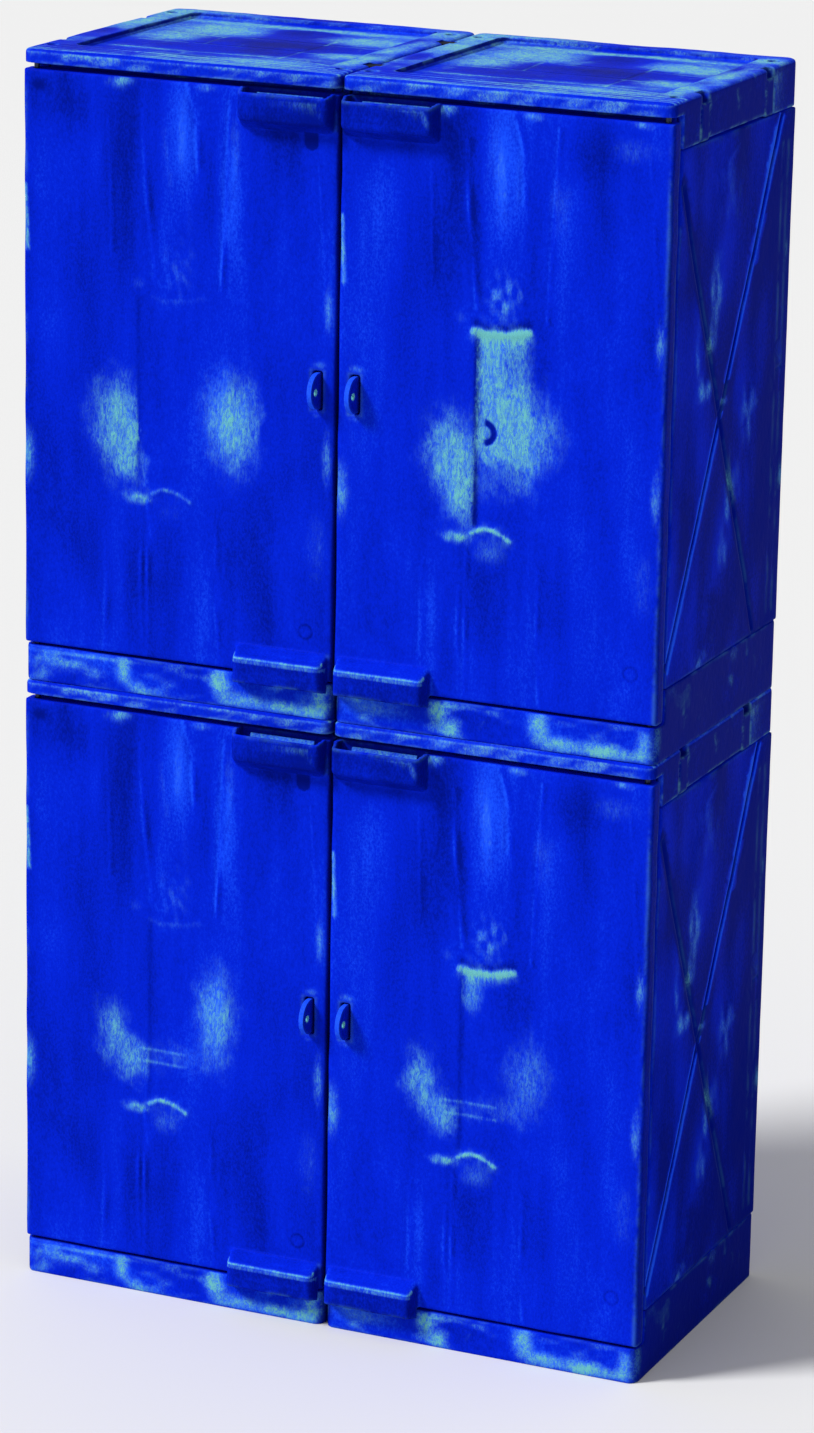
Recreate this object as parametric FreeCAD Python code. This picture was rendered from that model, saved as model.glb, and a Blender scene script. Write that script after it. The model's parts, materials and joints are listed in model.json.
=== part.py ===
import FreeCAD, Part
import math
import os

# Stacked plastic locker cabinet: four single-door modules, two wide and two high.
# Millimetres, +Z up, doors face -Y. The origin is on the floor, in the middle of the bounding box.
#
# A module is drawn in its own frame: x runs from its hinge side (0) to its seam side (MODULE_W),
# y from the door's front plane (0) to the back (MODULE_D), z from its underside (0) to its top (MODULE_H).
# Left modules are placed as drawn and right modules are their mirror images.

# ---- driving dimensions ----
MODULE_W = 487.0
MODULE_D = 475.0
MODULE_H = 914.0
SEAM = 4.0                # gap between the left and right stacks
LUG_REACH = 28.0          # how far the padlock lug stands out of the door plane
LIP_PROUD = 3.0           # how far the top lip stands out of the door plane
PLAN_R = 15.0             # rounded upright corners of base and top

DOOR_T = 32.0
DOOR_Z0 = 56.0
DOOR_Z1 = 885.0
DOOR_FREE_GAP = 1.5       # door edge to the seam side of its module
DOOR_STEP_T = 8.0         # raised inner skin that enters the opening
BODY_Y0 = 33.5            # front edge of the sides, behind the door
EDGE_R = 4.0

SILL_H = 52.0
SKIRT_H = 100.0           # side and rear skirts of the base
SKIRT_T = 10.0
REAR_SKIRT_T = 8.0
FLOOR_Z = 24.0
CHANNEL_Z = 30.0          # foot of the channels that the panels stand in
CURB_T = 8.0

LIP_Z0 = 893.5
LIP_EDGE_R = 6.0
TOP_SKIRT_Z0 = 847.0
SLAB_Z0 = 866.0
TOP_CHANNEL_Z = 890.0
RECESS_X = 46.0
RECESS_Y0 = 64.0
RECESS_Y1 = 446.0
RECESS_DEPTH = 8.0
WALL = 3.0                # wall of the hollow blow-moulded pieces

SIDE_T = 25.0
SIDE_Y1 = 471.0
BACK_T = 20.0
BACK_Y1 = MODULE_D - REAR_SKIRT_T
BACK_Y0 = BACK_Y1 - BACK_T
SHADOW_GAP = 1.5          # joint line between skirt and panel

TAB_Y = (114.0, 363.0)    # snap tabs of the top panel, from the front
TAB_W = 33.0
TAB_SLIT = 3.0
TAB_TOP = MODULE_H - 16.0
TAB_DROP = 3.0            # the tabs hang this far below the skirt between them
NOTCH_W = 27.0
NOTCH_D = 12.0
NOTCH_H = 15.0
BASE_SLIT_Y = (105.0, 352.0)
BASE_SLIT_H = 50.0

GROOVE_W = 9.0
GROOVE_DEPTH = 3.5
CROSS_A = ((39.0, 798.0), (372.0, 106.0))     # (distance from the front, height) of each arm's ends
CROSS_B = ((418.0, 842.0), (33.0, 126.0))
REAR_LINES_Y = (425.0, 447.0)
REAR_LINE_Z = (122.0, 800.0)
REAR_JOG_Z = 478.0

SHELF_Z0 = 457.0
SHELF_T = 16.0
SHELF_RIM_H = 12.0
SHELF_RIM_T = 12.0
SHELF_BITE = 5.0          # how far the shelf enters each side panel
SHELF_Y0 = 45.0

GRIP_U = (4.0, 149.0)     # grip ends at the door plane, from the seam side of the module
GRIP_FRONT_U = (9.0, 143.0)
GRIP_REACH = 24.0
GRIP_FRONT_H = 37.0
GRIP_SLOPE = 15.0         # fall of the sloped side from door plane to front
GRIP_EAR = 6.0            # rise of the open end's ears at the door plane
GRIP_WALL = 5.0
GRIP_R = 9.0              # rounding of the grip's corners and long edge
UPPER_GRIP_Z = DOOR_Z1 - 3.5      # open edge of the upper grip's front wall
LOWER_GRIP_Z = DOOR_Z0 - 11.0     # open edge of the lower grip's front wall
POCKET_Y1 = 15.0          # how deep the finger pocket goes into the door
POCKET_END = 6.0          # end wall of the pocket

TONGUE_U = (27.0, 128.0)
TONGUE_TRAVEL = 4.0
TONGUE_GAP = 0.5
UPPER_TIP_GAP = 6.0       # tongue tip to the end of its pocket; the lip stands close over the upper one
LOWER_TIP_GAP = 1.0
TONGUE_NOSE_Y = -6.0
TONGUE_TIP_T = 3.0
TONGUE_LEDGE = 5.0
TONGUE_TOE = 3.0
TONGUE_RIBS = 4
RIB_R = 1.2
PEEP_U = (18.5, 135.5)    # round holes beside the tongue
PEEP_R = 5.0

SLOT_U = (17.5, 36.0)     # padlock slot, from the seam side
SLOT_Z = (444.0, 500.0)
LUG_U = (22.5, 30.5)
LUG_Z = (446.5, 497.5)
LUG_EYE_R = 4.5
LUG_EYE_Y = -14.0

HINGE_X = 15.0
HINGE_Y = 14.0
HINGE_EDGE_R = 18.0       # the door's hinge edge stays inside this radius of the axis
PIN_R = 4.0
PIN_CLEARANCE = 0.05
PIN_IN_FRAME = 12.0
PIN_IN_DOOR = 24.0

KEY_R = 9.0
KEY_H = 20.0
KEY_INSET = 20.0
CLIP_T = 5.0
CLIP_LEG_T = 4.0
CLIP_DROP = 2.5           # top of a joining clip, below the top of the module

OVER = 5.0                # cutters run this far past the faces they open
ORIGIN = FreeCAD.Vector(0, 0, 0)
UP = FreeCAD.Vector(0, 0, 1)
ACROSS = FreeCAD.Vector(1, 0, 0)

COLUMNS = ("left", "right")
ROWS = (("lower", 0.0), ("upper", MODULE_H))
FRONT_Y = LUG_REACH - (MODULE_D + LUG_REACH) / 2     # door plane in the object's frame


# ---- helpers ----
def block(x, y, z):
    """Box between pairs of limits."""
    corner = FreeCAD.Vector(x[0], y[0], z[0])
    return Part.makeBox(x[1] - x[0], y[1] - y[0], z[1] - z[0], corner)


def rounded_block(x, y, z, radius):
    """Box with rounded upright edges."""
    solid = block(x, y, z)
    upright = [e for e in solid.Edges if abs(e.Vertexes[0].Z - e.Vertexes[1].Z) > 1e-6]
    return solid.makeFillet(radius, upright)


def prism_x(points_yz, x):
    """Polygon in the YZ plane, drawn out along X."""
    corners = [FreeCAD.Vector(x[0], y, z) for y, z in points_yz]
    face = Part.Face(Part.makePolygon(corners + corners[:1]))
    return face.extrude(FreeCAD.Vector(x[1] - x[0], 0, 0))


def rectangle_xz(x, z, y):
    """Closed rectangular wire in the plane at depth y."""
    ring = ((x[0], z[0]), (x[1], z[0]), (x[1], z[1]), (x[0], z[1]), (x[0], z[0]))
    return Part.makePolygon([FreeCAD.Vector(a, y, b) for a, b in ring])


def taper(x0, z0, y0, x1, z1, y1):
    """Straight-sided solid between two rectangles at depths y0 and y1."""
    ends = [rectangle_xz(x0, z0, y0), rectangle_xz(x1, z1, y1)]
    return Part.makeLoft(ends, True, True)


def from_seam(u):
    """X limits of a pair of distances from the seam side."""
    return (MODULE_W - u[1], MODULE_W - u[0])


def mirror_in_module(shape):
    """Mirror image about the module's own middle plane."""
    middle = FreeCAD.Vector(MODULE_W / 2, 0, 0)
    return shape.mirror(middle, ACROSS)


def solids_of(shape):
    """The same shape as a clean solid or a compound of them."""
    clean = shape.removeSplitter()
    parts = clean.Solids
    return parts[0] if len(parts) == 1 else Part.makeCompound(parts)


def place(shape, column, rise):
    """Move a shape from the module's frame to its place in the stack."""
    placed = shape.copy()
    placed.translate(FreeCAD.Vector(-MODULE_W - SEAM / 2, FRONT_Y, rise))
    return placed if column == "left" else placed.mirror(ORIGIN, ACROSS)


def save(name, shape):
    clean = solids_of(shape)
    if not clean.isValid():
        raise ValueError("bad solid: " + name)
    clean.exportStep("parts/" + name + ".step")
    count = len(clean.Solids)
    print("%-28s %7.2f litres, %d solid(s)" % (name, clean.Volume / 1e6, count))


# ---- base ----
def key_sockets(z):
    """Four round sockets for the stacking keys, near the corners."""
    places = [(x, y) for x in (KEY_INSET, MODULE_W - KEY_INSET)
              for y in (BODY_Y0 + KEY_INSET, BACK_Y0 - KEY_INSET)]
    return [Part.makeCylinder(KEY_R, z[1] - z[0], FreeCAD.Vector(x, y, z[0])) for x, y in places]


def base_tray(is_stacked):
    """Leak tray: sill in front, skirts at the sides and back, channels that hold the panels."""
    body = rounded_block((0, MODULE_W), (0, MODULE_D), (0, SILL_H), PLAN_R)
    skirt = rounded_block((0, MODULE_W), (BODY_Y0 - PLAN_R, MODULE_D), (0, SKIRT_H), PLAN_R)
    skirt = skirt.common(block((0, MODULE_W), (BODY_Y0, MODULE_D), (0, SKIRT_H)))
    tray = body.fuse(skirt)
    inner_x = (SIDE_T, MODULE_W - SIDE_T)
    cutters = [block((SKIRT_T, SIDE_T), (BODY_Y0, SIDE_Y1 + 0.5), (CHANNEL_Z, SKIRT_H + OVER))]
    cutters.append(mirror_in_module(cutters[0]))
    cutters.append(block(inner_x, (BACK_Y0, BACK_Y1), (CHANNEL_Z, SKIRT_H + OVER)))
    cutters.append(block(inner_x, (BODY_Y0, BACK_Y0), (SILL_H, SKIRT_H + OVER)))
    sump_x = (SIDE_T + CURB_T, MODULE_W - SIDE_T - CURB_T)
    sump_y = (BODY_Y0 + 2 * CURB_T, BACK_Y0 - CURB_T)
    cutters.append(rounded_block(sump_x, sump_y, (FLOOR_Z, SILL_H + OVER), PLAN_R))
    cutters.append(block(sump_x, sump_y, (WALL, FLOOR_Z - WALL)))
    for y in BASE_SLIT_Y:
        for x in ((-OVER, SKIRT_T), (MODULE_W - SKIRT_T, MODULE_W + OVER)):
            slit_z = (SKIRT_H - BASE_SLIT_H, SKIRT_H + OVER)
            cutters.append(block(x, (y - TAB_SLIT / 2, y + TAB_SLIT / 2), slit_z))
    pin_foot = FreeCAD.Vector(HINGE_X, HINGE_Y, SILL_H - PIN_IN_FRAME)
    cutters.append(Part.makeCylinder(PIN_R, PIN_IN_FRAME + OVER, pin_foot))
    if is_stacked:
        cutters.extend(key_sockets((-OVER, KEY_H / 2)))
    return tray.cut(cutters)


# ---- top ----
def tab_cutters():
    """Clip notches in the lid's left edge, with the slits that free the snap tabs below them."""
    marks = []
    for y in TAB_Y:
        notch_y = (y - NOTCH_W / 2, y + NOTCH_W / 2)
        marks.append(block((-OVER, NOTCH_D), notch_y, (MODULE_H - NOTCH_H, MODULE_H + OVER)))
        for edge in (y - TAB_W / 2, y + TAB_W / 2):
            slit_y = (edge - TAB_SLIT / 2, edge + TAB_SLIT / 2)
            marks.append(block((-OVER, SKIRT_T), slit_y, (TOP_SKIRT_Z0 - OVER, TAB_TOP)))
    band_y = (TAB_Y[0] + TAB_W / 2, TAB_Y[1] - TAB_W / 2)
    marks.append(block((-OVER, SKIRT_T), band_y, (TOP_SKIRT_Z0 - OVER, TOP_SKIRT_Z0 + TAB_DROP)))
    return marks


def top_panel(is_stacked):
    """Lid: hollow slab with a recessed middle, front lip, and skirts with snap tabs outside the panels."""
    rim = rounded_block((0, MODULE_W), (-LIP_PROUD, MODULE_D), (LIP_Z0, MODULE_H), PLAN_R)
    top_edges = [e for e in rim.Edges if min(v.Z for v in e.Vertexes) > MODULE_H - 1e-6]
    rim = rim.makeFillet(LIP_EDGE_R, top_edges)
    slab = block((SIDE_T, MODULE_W - SIDE_T), (BODY_Y0 + 0.5, BACK_Y0), (SLAB_Z0, MODULE_H - LIP_EDGE_R))
    skirt = rounded_block((0, MODULE_W), (0, MODULE_D), (TOP_SKIRT_Z0, LIP_Z0), PLAN_R)
    skirt = skirt.common(block((0, MODULE_W), (BODY_Y0 + 0.5, MODULE_D), (TOP_SKIRT_Z0, LIP_Z0)))
    skirt_z = (TOP_SKIRT_Z0, LIP_Z0)
    inside = block((SIDE_T, MODULE_W - SIDE_T), (0, BACK_Y1), skirt_z)
    channel = block((SKIRT_T, SIDE_T), (0, SIDE_Y1), (TOP_SKIRT_Z0, TOP_CHANNEL_Z))
    skirt = skirt.cut([inside, channel, mirror_in_module(channel)])
    lid = rim.fuse([skirt, slab])

    recess_x = (RECESS_X, MODULE_W - RECESS_X)
    recess_y = (RECESS_Y0, RECESS_Y1)
    cutters = [rounded_block(recess_x, recess_y, (MODULE_H - RECESS_DEPTH, MODULE_H + OVER), PLAN_R)]
    hollow_z = (SLAB_Z0 + WALL, MODULE_H - RECESS_DEPTH - WALL)
    hollow_y = (RECESS_Y0, BACK_Y0 - 2 * WALL)
    cutters.append(block(recess_x, hollow_y, hollow_z))
    marks = tab_cutters()
    cutters.extend(marks)
    cutters.extend(mirror_in_module(mark) for mark in marks)
    bore_top = FreeCAD.Vector(HINGE_X, HINGE_Y, LIP_Z0 - OVER)
    cutters.append(Part.makeCylinder(PIN_R, PIN_IN_FRAME + OVER, bore_top))
    if is_stacked:
        cutters.extend(key_sockets((MODULE_H - KEY_H / 2, MODULE_H + OVER)))
    return lid.cut(cutters)


# ---- panels ----
def groove(start, end):
    """Cutter for one straight groove in the outer face, which is the plane x = 0."""
    dy = end[0] - start[0]
    dz = end[1] - start[1]
    length = math.hypot(dy, dz)
    bar = Part.makeBox(GROOVE_DEPTH + OVER, length, GROOVE_W, FreeCAD.Vector(-OVER, 0, -GROOVE_W / 2))
    bar.rotate(ORIGIN, ACROSS, math.degrees(math.atan2(dz, dy)))
    bar.translate(FreeCAD.Vector(0, start[0], start[1]))
    return bar


def outer_side():
    """Side panel on the hinge side: crossed grooves outside, a shelf groove inside, hollow between."""
    panel = block((0, SIDE_T), (BODY_Y0, SIDE_Y1), (SKIRT_H + SHADOW_GAP, TOP_SKIRT_Z0 - SHADOW_GAP))
    tongue = block((SKIRT_T, SIDE_T), (BODY_Y0, SIDE_Y1), (CHANNEL_Z, TOP_CHANNEL_Z))
    panel = panel.fuse(tongue)
    cutters = [groove(*CROSS_A), groove(*CROSS_B)]
    for y in REAR_LINES_Y:
        line = block((-OVER, 2.5), (y - 1.5, y + 1.5), REAR_LINE_Z)
        cutters.append(line)
    jog = block((-OVER, 2.5), REAR_LINES_Y, (REAR_JOG_Z - 1.5, REAR_JOG_Z + 1.5))
    cutters.append(jog)
    shelf_z = (SHELF_Z0, SHELF_Z0 + SHELF_T)
    cutters.append(block((SIDE_T - SHELF_BITE, SIDE_T + OVER), (SHELF_Y0, BACK_Y0), shelf_z))
    hollow_x = (GROOVE_DEPTH + WALL, SIDE_T - WALL)
    hollow_y = (BODY_Y0 + WALL, SIDE_Y1 - 2 * WALL)
    cutters.append(block(hollow_x, hollow_y, (SKIRT_H + 2 * WALL, SHELF_Z0 - WALL)))
    cutters.append(block(hollow_x, hollow_y, (SHELF_Z0 + SHELF_T + WALL, TOP_SKIRT_Z0 - 2 * WALL)))
    return panel.cut(cutters)


def back_panel():
    """Rear wall between the sides, standing in the base channel and held by the top."""
    x = (SIDE_T, MODULE_W - SIDE_T)
    panel = block(x, (BACK_Y0, BACK_Y1), (CHANNEL_Z, TOP_CHANNEL_Z))
    hollow_x = (x[0] + WALL, x[1] - WALL)
    hollow_y = (BACK_Y0 + WALL, BACK_Y1 - GROOVE_DEPTH - WALL)
    cutters = [block(hollow_x, hollow_y, (CHANNEL_Z + WALL, TOP_CHANNEL_Z - WALL))]
    # the crossed grooves of the sides, turned to face the rear and fitted between them
    low = SKIRT_H + 25
    high = TOP_SKIRT_Z0 - 25
    arms = (((40.0, high), (x[1] - x[0] - 40.0, low)), ((x[1] - x[0] - 40.0, high), (40.0, low)))
    for start, end in arms:
        bar = groove(start, end)
        bar.rotate(ORIGIN, UP, -90)
        bar.translate(FreeCAD.Vector(x[0], BACK_Y1, 0))
        cutters.append(bar)
    return panel.cut(cutters)


def shelf():
    """Shelf tray that rests in the grooves of both sides, with a raised spill rim."""
    bite = SIDE_T - SHELF_BITE
    z = (SHELF_Z0, SHELF_Z0 + SHELF_T)
    board = block((bite, MODULE_W - bite), (SHELF_Y0, BACK_Y0 - 1), z)
    rim_x = (SIDE_T + 1, MODULE_W - SIDE_T - 1)
    rim_y = (SHELF_Y0, BACK_Y0 - 1)
    rim_top = z[1] + SHELF_RIM_H
    rim = rounded_block(rim_x, rim_y, (z[1], rim_top), PLAN_R)
    inner_x = (rim_x[0] + SHELF_RIM_T, rim_x[1] - SHELF_RIM_T)
    inner_y = (rim_y[0] + SHELF_RIM_T, rim_y[1] - SHELF_RIM_T)
    basin = rounded_block(inner_x, inner_y, (z[1], rim_top), PLAN_R)
    hollow = block(inner_x, inner_y, (z[0] + WALL, z[1] - WALL))
    return board.fuse(rim).cut([basin, hollow])


# ---- door ----
def grip_shell(open_z, way):
    """Outer form of a grip. way is +1 where it opens upwards and -1 where it opens downwards."""
    plane_z = sorted((open_z + way * GRIP_EAR, open_z - way * (GRIP_FRONT_H + GRIP_SLOPE)))
    front_z = sorted((open_z, open_z - way * GRIP_FRONT_H))
    plane_x = from_seam(GRIP_U)
    front_x = from_seam(GRIP_FRONT_U)
    form = taper(plane_x, plane_z, 0, front_x, front_z, -GRIP_REACH)
    outer = [e for e in form.Edges if min(v.Y for v in e.Vertexes) < -GRIP_REACH + 1e-6]
    closed = [e for e in outer if max(way * (open_z - v.Z) for v in e.Vertexes) > 1]
    return form.makeFillet(GRIP_R, closed)


def grip_pocket(open_z, way):
    """Finger space inside a grip, open at one end."""
    far = open_z + way * (GRIP_EAR + OVER)
    plane_z = sorted((far, open_z - way * (GRIP_FRONT_H + GRIP_SLOPE - 2 * GRIP_WALL)))
    front_z = sorted((far, open_z - way * (GRIP_FRONT_H - GRIP_WALL)))
    plane_x = from_seam((GRIP_U[0] + POCKET_END, GRIP_U[1] - POCKET_END))
    front_x = from_seam((GRIP_FRONT_U[0] + GRIP_WALL, GRIP_FRONT_U[1] - GRIP_WALL))
    front = taper(plane_x, plane_z, 0, front_x, front_z, GRIP_WALL - GRIP_REACH)
    door_end = DOOR_Z1 if way > 0 else DOOR_Z0
    rear_z = sorted((door_end + way * OVER, open_z - way * (GRIP_FRONT_H + GRIP_SLOPE - 2 * GRIP_WALL)))
    rear = block(plane_x, (0, POCKET_Y1), rear_z)
    return front.fuse(rear)


def pocket_limits(way):
    """Height limits of the pocket's part inside the door's thickness."""
    open_z = UPPER_GRIP_Z if way > 0 else LOWER_GRIP_Z
    door_end = DOOR_Z1 if way > 0 else DOOR_Z0
    return sorted((door_end, open_z - way * (GRIP_FRONT_H + GRIP_SLOPE - 2 * GRIP_WALL)))


def door():
    """Door: hollow blow-moulded slab with grips, finger pockets, padlock slot and pin holes."""
    slab = block((0, MODULE_W - DOOR_FREE_GAP), (0, DOOR_T), (DOOR_Z0, DOOR_Z1))
    front = [e for e in slab.Edges if max(v.Y for v in e.Vertexes) < 1e-6 and e.CenterOfMass.x > 1]
    slab = slab.makeFillet(EDGE_R, front)
    hinge_edge = block((0, HINGE_X), (0, DOOR_T), (DOOR_Z0, DOOR_Z1))
    axis_foot = FreeCAD.Vector(HINGE_X, HINGE_Y, DOOR_Z0)
    round_edge = Part.makeCylinder(HINGE_EDGE_R, DOOR_Z1 - DOOR_Z0, axis_foot)
    slab = slab.cut(hinge_edge.cut(round_edge))
    step_x = (SIDE_T + 2, MODULE_W - SIDE_T - 2)
    step = block(step_x, (DOOR_T, DOOR_T + DOOR_STEP_T), (DOOR_Z0 + 5, SLAB_Z0 - 4))
    leaf = slab.fuse(step)
    for open_z, way in ((UPPER_GRIP_Z, 1), (LOWER_GRIP_Z, -1)):
        leaf = leaf.fuse(grip_shell(open_z, way))
    below = block((0, MODULE_W), (-1.5, OVER), (0, DOOR_Z0))
    cutters = [below]
    for open_z, way in ((UPPER_GRIP_Z, 1), (LOWER_GRIP_Z, -1)):
        cutters.append(grip_pocket(open_z, way))
        low, high = pocket_limits(way)
        for u in PEEP_U:
            middle = FreeCAD.Vector(MODULE_W - u, 0, (low + high) / 2)
            cutters.append(Part.makeCylinder(PEEP_R, POCKET_Y1 + 2 * PEEP_R, middle, FreeCAD.Vector(0, 1, 0)))
    cutters.append(block(from_seam(SLOT_U), (-OVER, DOOR_T + DOOR_STEP_T + OVER), SLOT_Z))
    hole_r = PIN_R + PIN_CLEARANCE
    for z in (DOOR_Z0 - 1, DOOR_Z1 - PIN_IN_DOOR - 1):
        cutters.append(Part.makeCylinder(hole_r, PIN_IN_DOOR + 2, FreeCAD.Vector(HINGE_X, HINGE_Y, z)))
    hollow_z = (pocket_limits(-1)[1] + 3 * WALL, pocket_limits(1)[0] - 3 * WALL)
    hollow_x = (2 * HINGE_X, MODULE_W - SLOT_U[1] - 3 * WALL)
    cutters.append(block(hollow_x, (WALL, DOOR_T + DOOR_STEP_T - WALL), hollow_z))
    return leaf.cut(cutters)


def hinge_pins():
    """Two pins: one fixed in the sill and one in the lip, each running in the door."""
    low = FreeCAD.Vector(HINGE_X, HINGE_Y, SILL_H - PIN_IN_FRAME)
    low_pin = Part.makeCylinder(PIN_R, PIN_IN_FRAME + DOOR_Z0 - SILL_H + PIN_IN_DOOR - 1, low)
    high = FreeCAD.Vector(HINGE_X, HINGE_Y, DOOR_Z1 - PIN_IN_DOOR + 1)
    high_pin = Part.makeCylinder(PIN_R, PIN_IN_DOOR - 1 + LIP_Z0 - DOOR_Z1 + PIN_IN_FRAME, high)
    return Part.makeCompound([low_pin, high_pin])


def latch_tongue(way):
    """Sprung thumb tongue in a finger pocket, with ribs across its sloped face."""
    low, high = pocket_limits(way)
    rear = POCKET_Y1 - TONGUE_TRAVEL - TONGUE_GAP
    foot = low + TONGUE_GAP if way > 0 else high - TONGUE_GAP
    tip = high - UPPER_TIP_GAP if way > 0 else low + LOWER_TIP_GAP
    brow = rear - TONGUE_TIP_T
    ledge = foot + way * TONGUE_LEDGE
    toe = foot + way * TONGUE_TOE
    nose = TONGUE_NOSE_Y
    x = from_seam(TONGUE_U)
    tongue = prism_x([(rear, foot), (rear, tip), (brow, tip), (nose, ledge), (nose, toe), (0, foot)], x)
    ribs = []
    for i in range(1, TONGUE_RIBS + 1):
        share = i / (TONGUE_RIBS + 1)
        start = FreeCAD.Vector(x[0] + WALL, nose + (brow - nose) * share, ledge + (tip - ledge) * share)
        ribs.append(Part.makeCylinder(RIB_R, x[1] - x[0] - 2 * WALL, start, ACROSS))
    return tongue.fuse(ribs)


def lock_lug():
    """Padlock lug on the inner side panel's front edge, reaching through the door's slot."""
    x = from_seam(LUG_U)
    half = (LUG_Z[1] - LUG_Z[0]) / 2
    middle = (LUG_Z[0] + LUG_Z[1]) / 2
    straight = half - LUG_REACH
    plate = block(x, (straight, BODY_Y0), LUG_Z)
    disc = Part.makeCylinder(half, x[1] - x[0], FreeCAD.Vector(x[0], straight, middle), ACROSS)
    eye = Part.makeCylinder(LUG_EYE_R, x[1] - x[0] + 2,
                            FreeCAD.Vector(x[0] - 1, LUG_EYE_Y, middle), ACROSS)
    return plate.fuse(disc).cut(eye)


# ---- joining pieces ----
def stacking_keys():
    """Round keys, half in the lower module's top and half in the upper module's base."""
    return Part.makeCompound(key_sockets((MODULE_H - KEY_H / 2, MODULE_H + KEY_H / 2)))


def joining_clips(rise):
    """Staples across the centre seam, one in each pair of facing notches."""
    clips = []
    top = rise + MODULE_H - CLIP_DROP
    reach = SEAM / 2 + NOTCH_D - 1
    for y in TAB_Y:
        at = (FRONT_Y + y - NOTCH_W / 2 + 1, FRONT_Y + y + NOTCH_W / 2 - 1)
        clip = block((-reach, reach), at, (top - CLIP_T, top))
        for x in ((-reach, CLIP_LEG_T - reach), (reach - CLIP_LEG_T, reach)):
            clip = clip.fuse(block(x, at, (rise + MODULE_H - NOTCH_H, top - CLIP_T)))
        clips.append(clip.removeSplitter())
    return Part.makeCompound(clips)


def main():
    os.makedirs("parts", exist_ok=True)
    panel = outer_side()
    shared = {
        "outer_side": panel,
        "inner_side": mirror_in_module(panel),
        "back_panel": back_panel(),
        "shelf": shelf(),
        "door": door(),
        "hinge_pins": hinge_pins(),
        "latch_upper": latch_tongue(1),
        "latch_lower": latch_tongue(-1),
        "lock_lug": lock_lug(),
    }
    for row, rise in ROWS:
        pieces = dict(shared)
        pieces["base_tray"] = base_tray(row == "upper")
        pieces["top_panel"] = top_panel(row == "lower")
        for column in COLUMNS:
            for name, shape in pieces.items():
                save(name + "_" + row + "_" + column, place(shape, column, rise))
        save("joining_clips_" + row, joining_clips(rise))
    for column in COLUMNS:
        save("stacking_keys_" + column, place(stacking_keys(), column, 0.0))


main()
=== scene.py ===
import json
import math

import bmesh
import bpy
import numpy as np
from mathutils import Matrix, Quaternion, Vector
from mathutils.kdtree import KDTree


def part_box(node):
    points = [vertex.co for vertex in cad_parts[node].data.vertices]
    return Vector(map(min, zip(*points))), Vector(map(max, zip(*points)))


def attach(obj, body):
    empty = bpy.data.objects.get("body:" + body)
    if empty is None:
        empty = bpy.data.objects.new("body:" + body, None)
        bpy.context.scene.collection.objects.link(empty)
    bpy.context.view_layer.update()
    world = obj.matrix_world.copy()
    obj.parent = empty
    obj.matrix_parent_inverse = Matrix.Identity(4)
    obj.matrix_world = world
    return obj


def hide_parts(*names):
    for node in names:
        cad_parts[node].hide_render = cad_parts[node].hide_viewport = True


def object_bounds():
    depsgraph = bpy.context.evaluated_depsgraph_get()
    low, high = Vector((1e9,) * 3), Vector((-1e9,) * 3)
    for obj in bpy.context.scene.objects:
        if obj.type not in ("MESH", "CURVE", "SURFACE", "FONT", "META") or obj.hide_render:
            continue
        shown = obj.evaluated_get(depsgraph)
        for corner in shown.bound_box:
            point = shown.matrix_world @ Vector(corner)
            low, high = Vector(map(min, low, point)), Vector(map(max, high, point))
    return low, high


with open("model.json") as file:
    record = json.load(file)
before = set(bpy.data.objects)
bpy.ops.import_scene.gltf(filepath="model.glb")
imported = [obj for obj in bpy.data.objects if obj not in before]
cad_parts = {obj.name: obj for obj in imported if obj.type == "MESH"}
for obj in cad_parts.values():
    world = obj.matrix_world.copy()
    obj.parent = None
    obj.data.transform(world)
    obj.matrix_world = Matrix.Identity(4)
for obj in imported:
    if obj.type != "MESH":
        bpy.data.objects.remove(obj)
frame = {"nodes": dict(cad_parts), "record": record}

# Four blow-moulded plastic modules in a block. Every visible piece is grown from its CAD node: the node's
# mesh is remeshed, its edges are softened, and its faces get the ripples, sinks and marks of blow moulding.
# Lower modules are built where they stand, and the upper ones share their meshes, one module higher.

cad_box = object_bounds()
COLUMNS = ("left", "right")
ROWS = ("lower", "upper")
MM = 0.001

base_low, base_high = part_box("base_tray_lower_left")
rise = (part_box("base_tray_upper_left")[0] - base_low).z
MODULE_W = base_high.x - base_low.x
FRONT_Y = base_low.y
BACK_Y = base_high.y
lid_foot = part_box("top_panel_lower_left")[0].z
LIMIT_LOW = np.array(cad_box[0])
LIMIT_HIGH = np.array(cad_box[1]) - (0, 0, rise)


# ---- mesh tools ----
def arrays(mesh):
    """Points and normals of a mesh as arrays."""
    n = len(mesh.vertices)
    co = np.empty(n * 3, np.float32)
    no = np.empty(n * 3, np.float32)
    mesh.vertices.foreach_get("co", co)
    mesh.vertices.foreach_get("normal", no)
    return co.reshape(-1, 3).astype(float), no.reshape(-1, 3).astype(float)


def set_points(mesh, co):
    mesh.vertices.foreach_set("co", co.astype(np.float32).ravel())
    mesh.update()


def shell_mesh(node, name):
    """The node's outer surface, welded, without the walls of its sealed hollows."""
    mesh = frame["nodes"][node].data.copy()
    mesh.name = name
    bm = bmesh.new()
    bm.from_mesh(mesh)
    bmesh.ops.remove_doubles(bm, verts=bm.verts, dist=2e-6)
    seen = set()
    doomed = []
    for start in bm.faces:
        if start in seen:
            continue
        island, queue = [], [start]
        seen.add(start)
        while queue:
            face = queue.pop()
            island.append(face)
            for edge in face.edges:
                for other in edge.link_faces:
                    if other not in seen:
                        seen.add(other)
                        queue.append(other)
        volume = sum(f.calc_center_median().dot(f.normal) * f.calc_area() for f in island)
        if volume < 0:
            doomed += island
    bmesh.ops.delete(bm, geom=doomed, context="FACES")
    bm.to_mesh(mesh)
    bm.free()
    mesh.materials.clear()
    return mesh


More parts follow.
